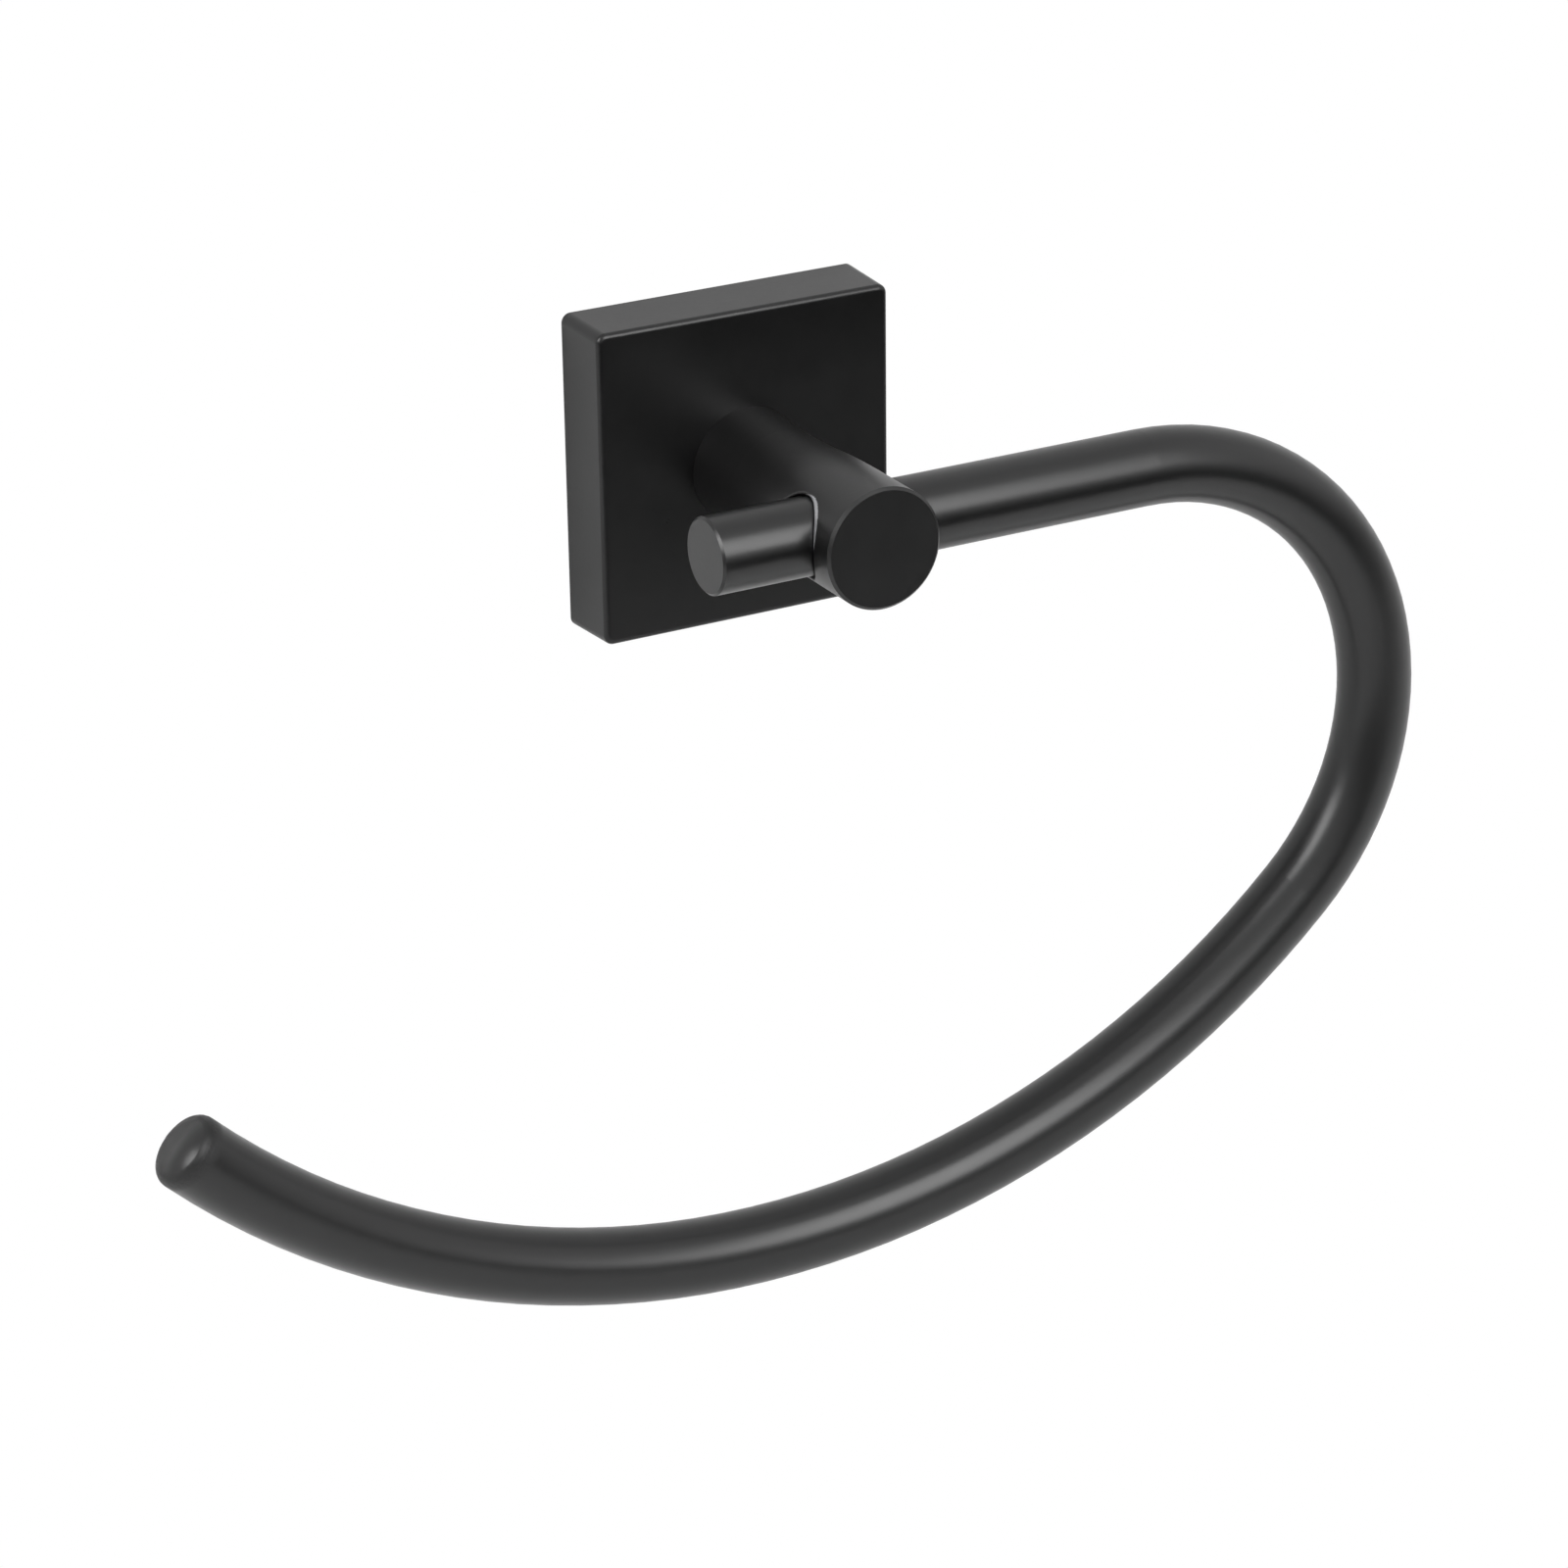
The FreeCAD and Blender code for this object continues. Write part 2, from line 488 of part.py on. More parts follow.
def make_ring_bar():
    """The ring: one round bar with a straight arm, a tight bend and a long sweep to an open end."""
    body = new_body("ring_bar")
    path = new_sketch(body, "bar_path", "XZ")
    arm = size("arm_length")
    bend = size("bend_radius")
    sweep = size("sweep_radius")
    turn = 90 - size("bend_angle")
    straight = line(path, (-size("stub_length"), 0), (arm, 0))
    tight = arc(path, (arm, -bend), bend, turn, 90)
    shift = sweep - bend
    lean = math.radians(turn)
    centre = (arm - shift * math.cos(lean), -bend - shift * math.sin(lean))
    long = arc(path, centre, sweep, turn - size("sweep_angle"), turn)
    path.addConstraint(Sketcher.Constraint("PointOnObject", straight, 1, HORIZONTAL_INDEX))
    path.addConstraint(Sketcher.Constraint("PointOnObject", straight, 2, HORIZONTAL_INDEX))
    join(path, straight, 2, tight, 2, "Tangent")
    join(path, tight, 1, long, 2, "Tangent")
    dimension(path, "stub", "Sizes.stub_length", "DistanceX", straight, 1, *ORIGIN_INDEX)
    dimension(path, "arm", "Sizes.arm_length", "DistanceX", *ORIGIN_INDEX, straight, 2)
    dimension(path, "bend", "Sizes.bend_radius", "Radius", tight)
    dimension(path, "sweep", "Sizes.sweep_radius", "Radius", long)
    dimension(path, "bend_turn", "Sizes.bend_angle", "Angle", tight)
    dimension(path, "sweep_turn", "Sizes.sweep_angle", "Angle", long)
    section = new_sketch(body, "bar_section", "YZ", "-Sizes.stub_length")
    centred_circle(section, "thickness", "Sizes.bar_diameter")
    pipe = feature(body, "AdditivePipe", "bent_bar", section, Spine=(path, []))

    # The bevel round the flat end and the rounding of the open end.
    flat = -size("stub_length")
    stub_edge = edges_where(pipe.Shape, lambda p, e: near(p.x, flat))
    bevelled = dress(body, "Chamfer", "stub_bevel", pipe, stub_edge, "Sizes.stub_bevel")
    turned = math.radians(turn - size("sweep_angle"))
    out = FreeCAD.Vector(math.sin(turned), 0, -math.cos(turned))
    tip = FreeCAD.Vector(centre[0] + sweep * math.cos(turned), 0, centre[1] + sweep * math.sin(turned))

    def at_tip(point, edge):
        """True on the edge round the open end's flat face."""
        return near((point - tip).dot(out), 0) and (point - tip).Length < size("bar_diameter")
    tip_edge = edges_where(bevelled.Shape, at_tip)
    dress(body, "Fillet", "tip_rounding", bevelled, tip_edge, "Sizes.tip_round")
    place(body, y="-Sizes.bar_reach")
    return body


def make_wall_bracket():
    """The steel bracket: one folded strip with two slanted lips and two holes for wall screws."""
    body = new_body("wall_bracket")
    profile = new_sketch(body, "bracket_profile", "YZ")
    half = size("fold_height")
    sheet = size("bracket_sheet")
    lip = size("lip_reach")
    slip = sheet * math.sin(math.radians(45))
    inner = half - sheet * math.tan(math.radians(22.5))
    upper = [(0, half), (-lip, half + lip), (-lip - slip, half + lip - slip), (-sheet, inner)]
    lower = [(y, -z) for y, z in reversed(upper)]
    sides = polygon(profile, upper + lower)
    back_lip, end, front_lip, front, low_front, low_end, low_back = sides[:7]
    profile.addConstraint(Sketcher.Constraint("Vertical", front))
    for outer, inside, tip in ((back_lip, front_lip, end), (low_back, low_front, low_end)):
        profile.addConstraint(Sketcher.Constraint("Parallel", outer, inside))
        profile.addConstraint(Sketcher.Constraint("Perpendicular", outer, tip))
    for above, below in (((back_lip, 1), (low_back, 2)), ((back_lip, 2), (low_back, 1))):
        profile.addConstraint(Sketcher.Constraint("Symmetric", *above, *below, HORIZONTAL_INDEX))
    profile.addConstraint(Sketcher.Constraint("PointOnObject", back_lip, 1, VERTICAL_INDEX))
    dimension(profile, "height", "2 * Sizes.fold_height", "DistanceY", low_back, 2, back_lip, 1)
    dimension(profile, "sheet", "Sizes.bracket_sheet", "DistanceX", front_lip, 2, *ORIGIN_INDEX)
    dimension(profile, "lip_out", "Sizes.lip_reach", "DistanceX", back_lip, 2, *ORIGIN_INDEX)
    dimension(profile, "lip_up", "Sizes.lip_reach", "DistanceY", back_lip, 1, back_lip, 2)
    dimension(profile, "upper_end", "Sizes.bracket_sheet * sin(45)", "DistanceX", end, 2, end, 1)
    dimension(profile, "lower_end", "Sizes.bracket_sheet * sin(45)", "DistanceX", low_end, 1, low_end, 2)
    strip = feature(body, "Pad", "bracket_strip", profile, Length="Sizes.bracket_width", Midplane=True)
    insides = edges_where(strip.Shape, lambda p, e: near(p.y, -sheet) and near(abs(p.z), inner))
    soft = dress(body, "Fillet", "fold_insides", strip, insides, "Sizes.fold_round")
    outsides = edges_where(soft.Shape, lambda p, e: near(p.y, 0) and near(abs(p.z), half))
    outer_round = "Sizes.fold_round + Sizes.bracket_sheet"
    folded = dress(body, "Fillet", "fold_outsides", soft, outsides, outer_round)
    width = size("bracket_width") / 2
    end_middle = half + lip - slip / 2
    tips = edges_where(folded.Shape, lambda p, e: near(abs(p.x), width) and near(abs(p.z), end_middle))
    dress(body, "Fillet", "lip_corners", folded, tips, "Sizes.lip_corner")
    holes = new_sketch(body, "bracket_holes_outline", "XZ")
    for name, height in (("upper", size("hole_height")), ("lower", -size("hole_height"))):
        circle_on_axis(holes, name, (0, height), "Sizes.hole_height", "Sizes.bracket_hole")
    cut(body, "bracket_holes", holes, Length=f"Sizes.bracket_sheet + {OVERSHOOT}", Reversed=True)
    return body


def make_post_screw():
    """The low-headed socket screw that draws the post down on the cover from behind."""
    body = new_body("post_screw")
    head = new_sketch(body, "screw_head_outline", "XZ")
    centred_circle(head, "head", "Sizes.post_screw_head")
    feature(body, "Pad", "screw_head", head, Length="Sizes.screw_head_height", Reversed=True)
    shank = new_sketch(body, "screw_shank_outline", "XZ")
    centred_circle(shank, "shank", "Sizes.post_screw_diameter")
    long = feature(body, "Pad", "screw_shank", shank, Length="Sizes.post_screw_length")
    end = edges_where(long.Shape, lambda p, e: near(p.y, -size("post_screw_length")))
    dress(body, "Chamfer", "screw_end", long, end, "Sizes.post_screw_bevel")
    key = new_sketch(body, "screw_key_outline", "XZ", "-Sizes.screw_head_height")
    hexagon(key, "Sizes.post_screw_key")
    cut(body, "screw_key", key, Length="Sizes.post_screw_key_depth", Reversed=True)
    place(body, y="-Sizes.screw_seat")
    return body


def make_spring_washer():
    """The split spring washer under that screw's head, shown pressed flat."""
    body = new_body("spring_washer")
    ring = new_sketch(body, "washer_outline", "XZ")
    outside = "Sizes.spigot_diameter + 2 * Sizes.washer_margin"
    centred_circle(ring, "outside", outside)
    centred_circle(ring, "inside", "Sizes.post_screw_diameter + 2 * Sizes.washer_clearance")
    feature(body, "Pad", "washer", ring, Length="Sizes.washer_thickness")
    # The split is cut by a narrow upright strip that starts in the bore and ends outside the rim.
    split = new_sketch(body, "washer_split_outline", "XZ")
    half_gap = size("washer_split") / 2
    bottom, _, top, _ = rectangle(split, (-half_gap, 1), (half_gap, size("spigot_diameter")))
    dimension(split, "gap", "Sizes.washer_split", "DistanceX", bottom, 1, bottom, 2)
    dimension(split, "half_gap", "Sizes.washer_split / 2", "DistanceX", bottom, 1, *ORIGIN_INDEX)
    dimension(split, "low", "Sizes.post_screw_diameter / 4", "DistanceY", *ORIGIN_INDEX, bottom, 1)
    dimension(split, "high", outside, "DistanceY", *ORIGIN_INDEX, top, 1)
    cut(body, "washer_split", split, Length=f"Sizes.washer_thickness + {OVERSHOOT}", Reversed=True)
    place(body, y="-Sizes.screw_seat")
    return body


def make_grub_screw(name, alias, point):
    """A grub screw that points up: a hexagon socket below and a bevelled or a pointed end above."""
    body = new_body(name)
    turning = new_sketch(body, f"{name}_profile", "XZ")
    length = f"Sizes.{alias}"
    radius = size("grub_diameter") / 2
    tall = size(alias)
    bevel = size("grub_bevel")
    tip = radius if point else bevel
    corners = [(0, -tall), (radius - bevel, -tall), (radius, bevel - tall), (radius, -tip)]
    corners += [(0, 0)] if point else [(radius - bevel, 0), (0, 0)]
    sides = polygon(turning, corners)
    floor, low_bevel, wall, end = sides[:4]
    axis = sides[-1]
    turning.addConstraint(Sketcher.Constraint("Horizontal", floor))
    turning.addConstraint(Sketcher.Constraint("Vertical", wall))
    turning.addConstraint(Sketcher.Constraint("Coincident", axis, 1, *ORIGIN_INDEX))
    turning.addConstraint(Sketcher.Constraint("Vertical", axis))
    dimension(turning, "long", length, "DistanceY", axis, 2, axis, 1)
    dimension(turning, "radius", "Sizes.grub_diameter / 2", "DistanceX", *ORIGIN_INDEX, wall, 1)
    dimension(turning, "bevel_in", "Sizes.grub_bevel", "DistanceX", low_bevel, 1, low_bevel, 2)
    dimension(turning, "bevel_up", "Sizes.grub_bevel", "DistanceY", low_bevel, 1, low_bevel, 2)
    if point:
        dimension(turning, "point", "Sizes.grub_diameter / 2", "DistanceY", end, 1, end, 2)
    else:
        turning.addConstraint(Sketcher.Constraint("Horizontal", sides[4]))
        dimension(turning, "end_in", "Sizes.grub_bevel", "DistanceX", end, 2, end, 1)
        dimension(turning, "end_up", "Sizes.grub_bevel", "DistanceY", end, 1, end, 2)
    upright = (turning, ["V_Axis"])
    feature(body, "Revolution", f"{name}_turning", turning, Angle=360.0, ReferenceAxis=upright)
    key = new_sketch(body, f"{name}_key_outline", "XY", f"-{length}")
    hexagon(key, "Sizes.grub_key")
    cut(body, f"{name}_key", key, Length="Sizes.grub_key_depth", Reversed=True)
    return body


def make_bar_set_screw():
    """The grub screw in the post's underside that holds the bar."""
    body = make_grub_screw("bar_set_screw", "bar_grub_length", point=False)
    place(body, y="-Sizes.bar_reach", z="-Sizes.bar_diameter / 2 - Sizes.seat_gap")
    return body


def make_cover_set_screw():
    """The pointed grub screw in the cover's underside that wedges it on the bracket's lower lip."""
    body = make_grub_screw("cover_set_screw", "cover_grub_length", point=True)
    point = "-Sizes.fold_height - Sizes.cover_grub_reach - Sizes.seat_gap / sin(45)"
    place(body, y="-Sizes.cover_grub_reach", z=point)
    return body


def check_and_write(bodies):
    """Stops on any object that failed, then writes one file for each piece."""
    DOC.recompute()
    for item in DOC.Objects:
        if "Invalid" in item.State or "Error" in item.State:
            raise RuntimeError(f"{item.Name} failed: {item.State}")
    os.makedirs("parts", exist_ok=True)
    for body in bodies:
        shape = body.Shape
        if shape.isNull() or not shape.isValid():
            raise RuntimeError(f"{body.Label} has no valid shape")
        shape.exportStep(f"parts/{body.Label}.step")
        box = shape.optimalBoundingBox(True)
        print(f"{body.Label}: {len(shape.Solids)} solid, {shape.Volume:.1f} mm3, "
              f"x {box.XMin:.2f} to {box.XMax:.2f}, y {box.YMin:.2f} to {box.YMax:.2f}, "
              f"z {box.ZMin:.2f} to {box.ZMax:.2f}")


check_and_write([
    make_cover_plate(),
    make_post(),
    make_post_screw(),
    make_spring_washer(),
    make_wall_bracket(),
    make_cover_set_screw(),
    make_ring_bar(),
    make_bar_set_screw(),
])
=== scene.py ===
# %% [markdown]
# A wall-mounted towel ring in satin black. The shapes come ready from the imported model: a square cover,
# a waisted post, one bent round bar, and the bracket and screws behind them. What is left for this
# lesson is everything that light does to them: the paint, the plated steel, the studio and the camera.
# Every length is in metres. The wall is the plane y = 0 and the ring stands out from it towards -Y.

import math

import bpy
from mathutils import Matrix, Vector

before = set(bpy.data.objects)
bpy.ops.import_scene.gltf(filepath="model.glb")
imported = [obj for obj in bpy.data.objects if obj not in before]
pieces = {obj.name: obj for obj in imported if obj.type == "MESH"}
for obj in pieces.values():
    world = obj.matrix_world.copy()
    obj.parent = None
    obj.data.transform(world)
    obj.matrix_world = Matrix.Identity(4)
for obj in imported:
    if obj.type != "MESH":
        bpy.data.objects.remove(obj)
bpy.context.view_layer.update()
print("Pieces:", ", ".join(sorted(pieces)))

# %% [markdown]
# The photographer stood to the left of the ring and above it, with a long lens: the edges of the cover
# that run away from the lens hardly draw together. The camera could be placed by eye, but the square
# cover and the round post give enough straight and round edges to work it out, and then the outline of
# every piece falls close to the photographed one. It is written as a turn round the ring, a height, a
# small roll and a distance, because those are the numbers that a photographer would set.

# %% Aim the camera
AIM = Vector((-0.00361, -0.030, -0.04935))
TURN = math.radians(-28.47)
HEIGHT = math.radians(23.35)
ROLL = math.radians(-0.77)
DISTANCE = 0.80885
LENS_MM = 113.05


def photographer_stand():
    """Where the camera is and which way it looks, as one matrix."""
    towards_camera = Vector((
        math.sin(TURN) * math.cos(HEIGHT),
        -math.cos(TURN) * math.cos(HEIGHT),
        math.sin(HEIGHT),
    ))
    level_right = (-towards_camera).cross(Vector((0, 0, 1))).normalized()
    level_up = level_right.cross(-towards_camera)
    right = level_right * math.cos(ROLL) + level_up * math.sin(ROLL)
    up = level_up * math.cos(ROLL) - level_right * math.sin(ROLL)
    turned = Matrix((right, up, towards_camera)).transposed().to_4x4()
    return Matrix.Translation(AIM + towards_camera * DISTANCE) @ turned


lens = bpy.data.cameras.new("photographer")
lens.sensor_width = 36
lens.lens = LENS_MM
lens.clip_start = 0.01
lens.clip_end = 20
camera = bpy.data.objects.new("photographer", lens)
camera.matrix_world = photographer_stand()
bpy.context.scene.collection.objects.link(camera)
bpy.context.scene.camera = camera
print("The camera stands at", [round(v, 3) for v in camera.matrix_world.translation])

# %% [markdown]
# A finish is a small sum: this much grain plus that much mottle, less what a mask hides. Wired by hand,
# each plus and times is a box to place and two cables to pull. Here a number that varies over a surface
# is wrapped in a class, so that the sum is written as a sum and the Math nodes come by themselves. All
# other nodes come from one method, which takes the kind of node, its settings and its sockets.

# %% Numbers that vary over a surface
class Varying:
    """A number that changes from place to place. A sum with it adds the Math nodes that it needs."""

    def __init__(self, recipe, socket):
        self.recipe = recipe
        self.socket = socket

    def combine(self, operation, first, second):
        """One Math node that joins the two."""
        sockets = {0: first, 1: second}
        return self.recipe.node("ShaderNodeMath", {"operation": operation}, sockets)["Value"]

    def __add__(self, other):
        return self.combine("ADD", self, other)

    def __sub__(self, other):
        return self.combine("SUBTRACT", self, other)

    def __rsub__(self, other):
        return self.combine("SUBTRACT", other, self)

    def __mul__(self, other):
        return self.combine("MULTIPLY", self, other)

    __radd__ = __add__
    __rmul__ = __mul__


class Recipe:
    """The nodes of one finish, or of the room round the ring."""

    def __init__(self, owner):
        owner.use_nodes = True
        self.tree = owner.node_tree
        self.tree.nodes.clear()

    def node(self, kind, settings, sockets):
        """Adds a node, sets it up, joins its sockets, and returns what comes out of it by name."""
        made = self.tree.nodes.new(kind)
        for name, setting in settings.items():
            setattr(made, name, setting)
        for name, given in sockets.items():
            socket = made.inputs[name] if isinstance(name, int) else self.open_socket(made, name)
            if isinstance(given, Varying):
                self.tree.links.new(given.socket, socket)
            else:
                socket.default_value = given
        return {out.name: Varying(self, out) for out in made.outputs if out.enabled}

    def open_socket(self, made, name):
        """The socket of that name. Some nodes hide others of the same name, for other kinds of value."""
        return next(socket for socket in made.inputs if socket.enabled and socket.name == name)


print("A varying number can be written in a sum with plus, minus and times")

# %% [markdown]
# The ring is photographed against plain white, as a shop shows it, and black paint shows little else
# than what it mirrors. So the room matters more than the paint: a bright ceiling that fades into a dark
# floor. A room could be built from walls, but a sky that changes with direction does the same with no
# edges in the mirror image. What the camera sees straight on is plain white. Mirrored rays see the
# ceiling and the dark floor, and all other rays find one even fill of light.

# %% Paint the room round the ring
WHITE = (1.0, 1.0, 1.0, 1.0)
# A direction's height runs from -1, straight down, to 1, straight up, and its X from left to right.
FLOOR_ENDS = -0.245
CEILING_BEGINS = 0.31
RIGHT_WALL_BEGINS = 0.3
STRAIGHT_RIGHT = 1.0
FLOOR_LIGHT = 0.01
CEILING_LIGHT = 0.99
RIGHT_WALL_LIGHT = 0.085
FILL_LIGHT = 0.44


def soft_step(recipe, value, from_here, to_there):
    """A smooth rise from 0 at one value to 1 at another, which may be the smaller of the two."""
    return recipe.node("ShaderNodeMapRange", {"interpolation_type": "SMOOTHSTEP"}, {
        "Value": value, "From Min": from_here, "From Max": to_there, "To Min": 0.0, "To Max": 1.0,
    })["Result"]


room = bpy.data.worlds.new("studio_room")
bpy.context.scene.world = room
sky = Recipe(room)
direction = sky.node("ShaderNodeTexCoord", {}, {})["Generated"]
facing = sky.node("ShaderNodeSeparateXYZ", {}, {"Vector": direction})
ceiling = soft_step(sky, facing["Z"], FLOOR_ENDS, CEILING_BEGINS)
right_wall = soft_step(sky, facing["X"], RIGHT_WALL_BEGINS, STRAIGHT_RIGHT)
walls = FLOOR_LIGHT + CEILING_LIGHT * ceiling + RIGHT_WALL_LIGHT * right_wall

ray = sky.node("ShaderNodeLightPath", {}, {})
straight_on = ray["Is Camera Ray"] + ray["Is Transmission Ray"]
in_a_mirror = ray["Is Glossy Ray"]
soft_fill = FILL_LIGHT * (1.0 - straight_on - in_a_mirror)
brightness = straight_on + in_a_mirror * walls + soft_fill
light = sky.node("ShaderNodeBackground", {}, {"Color": WHITE, "Strength": brightness})
sky.node("ShaderNodeOutputWorld", {}, {"Surface": light["Background"]})
print("Nodes in the room:", len(room.node_tree.nodes))

# %% [markdown]
# A long soft streak runs along the bar a little above the middle of its round, and fades where the bar
# turns away. It is the mirror image of a large white box that hangs in front of the ring, to its right
# and somewhat higher than the lens. A small lamp would draw a thin hard streak. A second box hangs on
# the left. It draws the one bright spot on the domed end of the bar, and it lights the wall that the
# left faces mirror.

# %% Hang the soft boxes
RING_MIDDLE = Vector((0.0, -0.04, -0.05))


def hang_soft_box(name, turn, height, width, tall, brightness):
    """A white box one metre from the ring, facing it. The turn starts behind the ring and goes right."""
    turn, height = math.radians(turn), math.radians(height)
    away = Vector((math.sin(turn) * math.cos(height), math.cos(turn) * math.cos(height), math.sin(height)))
    glow = bpy.data.lights.new(name, "AREA")
    glow.shape = "RECTANGLE"
    glow.size = width
    glow.size_y = tall
    # A flat lamp sends out pi times its brightness times its area.
    glow.energy = brightness * math.pi * width * tall
    box = bpy.data.objects.new(name, glow)
    facing_ring = away.to_track_quat("Z", "Y").to_matrix().to_4x4()
    box.matrix_world = Matrix.Translation(RING_MIDDLE + away) @ facing_ring
    box.visible_camera = False
    bpy.context.scene.collection.objects.link(box)
    print(name, "with", round(glow.energy, 1), "W")


hang_soft_box("front_box", turn=161.5, height=34.0, width=0.50, tall=0.70, brightness=5.75)
hang_soft_box("left_box", turn=-98.6, height=33.8, width=0.63, tall=0.58, brightness=6.85)

# %% [markdown]
# Behind the ring is the white wall that it hangs on, and a pale table stands below it. Both matter
# although neither shows an edge. The left side of the cover mirrors the wall right beside it, where the
# cover keeps the light off, and so it is darker than the cut end of the bar, which mirrors open wall.
# Straight on both are the same plain white as the room. For light that bounces they are pale and matt
# and take the ring's soft shadow. A mirrored ray meets a mix of the two, a third of it plain white: the
# paint shows a white background too, and still a darker one close to the cover, which all white would
# lose. The wall is open behind the cover and clear from behind, so that the bracket can be looked at.

# %% Build the wall and the table
# The wall's sheet lies half a millimetre behind the wall plane, clear of the back of the cover.
WALL_BACK = 0.0005
TABLE_DROP = -0.142
TABLE_FRONT = -0.272
HALF_OPENING = 0.0255
REACH = 3.0
WALL_PAINT = 0.745
TABLE_TOP = 0.92
WHITE_IN_A_MIRROR = 0.32


def pale_card(name, shade):
    """White when looked at, matt and as pale as its shade for light that bounces, clear from behind."""
    card = bpy.data.materials.new(name)
    recipe = Recipe(card)
    seen = recipe.node("ShaderNodeLightPath", {}, {})
    from_behind = recipe.node("ShaderNodeNewGeometry", {}, {})["Backfacing"]
    matt = recipe.node("ShaderNodeBsdfDiffuse", {}, {"Color": (shade, shade, shade, 1.0)})["BSDF"]
    white = recipe.node("ShaderNodeEmission", {}, {"Color": WHITE, "Strength": 1.0})["Emission"]
    clear = recipe.node("ShaderNodeBsdfTransparent", {}, {})["BSDF"]
    mirrored_white = WHITE_IN_A_MIRROR * seen["Is Glossy Ray"]
    shown_white = seen["Is Camera Ray"] + seen["Is Transmission Ray"] + mirrored_white
    front = recipe.node("ShaderNodeMixShader", {}, {0: shown_white, 1: matt, 2: white})["Shader"]
    look = recipe.node("ShaderNodeMixShader", {}, {0: from_behind, 1: front, 2: clear})["Shader"]
    recipe.node("ShaderNodeOutputMaterial", {}, {"Surface": look})
    return card


def hang_sheet(name, corners, faces, card):
    """A flat sheet of the studio, which is no part of the ring."""
    mesh = bpy.data.meshes.new(name)
    mesh.from_pydata(corners, [], faces)
    mesh.materials.append(card)
    sheet = bpy.data.objects.new(name, mesh)
    bpy.context.scene.collection.objects.link(sheet)
    print(name, "hung with", len(faces), "faces")


hang_sheet("wall", [
    (-REACH, WALL_BACK, TABLE_DROP), (REACH, WALL_BACK, TABLE_DROP),
    (REACH, WALL_BACK, REACH), (-REACH, WALL_BACK, REACH),
    (-HALF_OPENING, WALL_BACK, -HALF_OPENING), (HALF_OPENING, WALL_BACK, -HALF_OPENING),
    (HALF_OPENING, WALL_BACK, HALF_OPENING), (-HALF_OPENING, WALL_BACK, HALF_OPENING),
], [(0, 1, 5, 4), (1, 2, 6, 5), (2, 3, 7, 6), (3, 0, 4, 7)], pale_card("wall_card", WALL_PAINT))
hang_sheet("table", [
    (-REACH, TABLE_FRONT, TABLE_DROP), (REACH, TABLE_FRONT, TABLE_DROP),
    (REACH, WALL_BACK, TABLE_DROP), (-REACH, WALL_BACK, TABLE_DROP),
], [(0, 1, 2, 3)], pale_card("table_card", TABLE_TOP))

# %% [markdown]
# Two places on the ring differ from the rest of the paint. Each is round, so each is found by how far a
# point lies from a line through its middle. The first is a thin bright crescent at the left mouth of the
# post's bore. It is a painted highlight: pale metal colour where the rounded mouth of the bore catches light.
# It is what lies outside the bore and inside a smaller circle shifted up and forward, and a fine noise
# frays its outline. It could be painted on by hand, but a mask made of distances stays sharp however
# close the camera comes.

# %% Paint a highlight on the mouth of the bore
BORE_MIDDLE = (0.0, -0.0460, 0.0)
BORE_RADIUS = 0.0065
CRESCENT_MIDDLE = (0.0, -0.04745, 0.00160)
CRESCENT_RADIUS = 0.00542
ACROSS = (1.0, 0.0, 0.0)
FRAY = 0.0003
LEFT_BEGINS = -0.003
WELL_LEFT = -0.005


def distance_from_line(recipe, place, middle, line):
    """How far a place is from the line through the middle, and how far along that line it lies."""
    away = recipe.node("ShaderNodeVectorMath", {"operation": "SUBTRACT"}, {0: place, 1: middle})["Vector"]
    along = recipe.node("ShaderNodeVectorMath", {"operation": "DOT_PRODUCT"}, {0: away, 1: line})["Value"]
    lift = recipe.node("ShaderNodeVectorMath", {"operation": "SCALE"}, {0: line, "Scale": along})["Vector"]
    flat = recipe.node("ShaderNodeVectorMath", {"operation": "SUBTRACT"}, {0: away, 1: lift})["Vector"]
    return recipe.node("ShaderNodeVectorMath", {"operation": "LENGTH"}, {0: flat})["Value"], along


def cloudy(recipe, place, scale, detail, roughness):
    """A cloudy pattern from 0 to 1. The scale is about how many clouds lie side by side in a length of 1."""
    return recipe.node("ShaderNodeTexNoise", {"noise_dimensions": "3D"}, {
        "Vector": place, "Scale": scale, "Detail": detail, "Roughness": roughness,
    })["Fac"]


def painted_bore_highlight(recipe, place):
    """How strong the painted highlight is: 1 in the crescent at the left mouth of the post's cross bore."""
    from_bore, across = distance_from_line(recipe, place, BORE_MIDDLE, ACROSS)
    from_crescent, _ = distance_from_line(recipe, place, CRESCENT_MIDDLE, ACROSS)
    streaks = cloudy(recipe, place, scale=2600.0, detail=2.0, roughness=0.6) - 0.5
    outside = soft_step(recipe, from_bore, BORE_RADIUS + 0.00002, BORE_RADIUS + 0.00008)
    frayed = from_crescent + FRAY * streaks
    inside = soft_step(recipe, frayed, CRESCENT_RADIUS + 0.00012, CRESCENT_RADIUS)
    left = soft_step(recipe, across, LEFT_BEGINS, WELL_LEFT)
    return outside * inside * left * (0.75 + 0.5 * streaks)


widest = CRESCENT_RADIUS + math.dist(BORE_MIDDLE, CRESCENT_MIDDLE) - BORE_RADIUS
print("The crescent is at most", round(1000 * widest, 2), "mm wide")

# %% [markdown]
# The second is the open end of the bar, a low dome with a soft rim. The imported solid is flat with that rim,
# which gives the right outline. A bump bends the light on the flat as a dome would, and leaves the shape
# as it is. The end is also made a little duller than the rest of the bar, most of all at its rim,
# because the spot of light on the photographed end has no hard border.

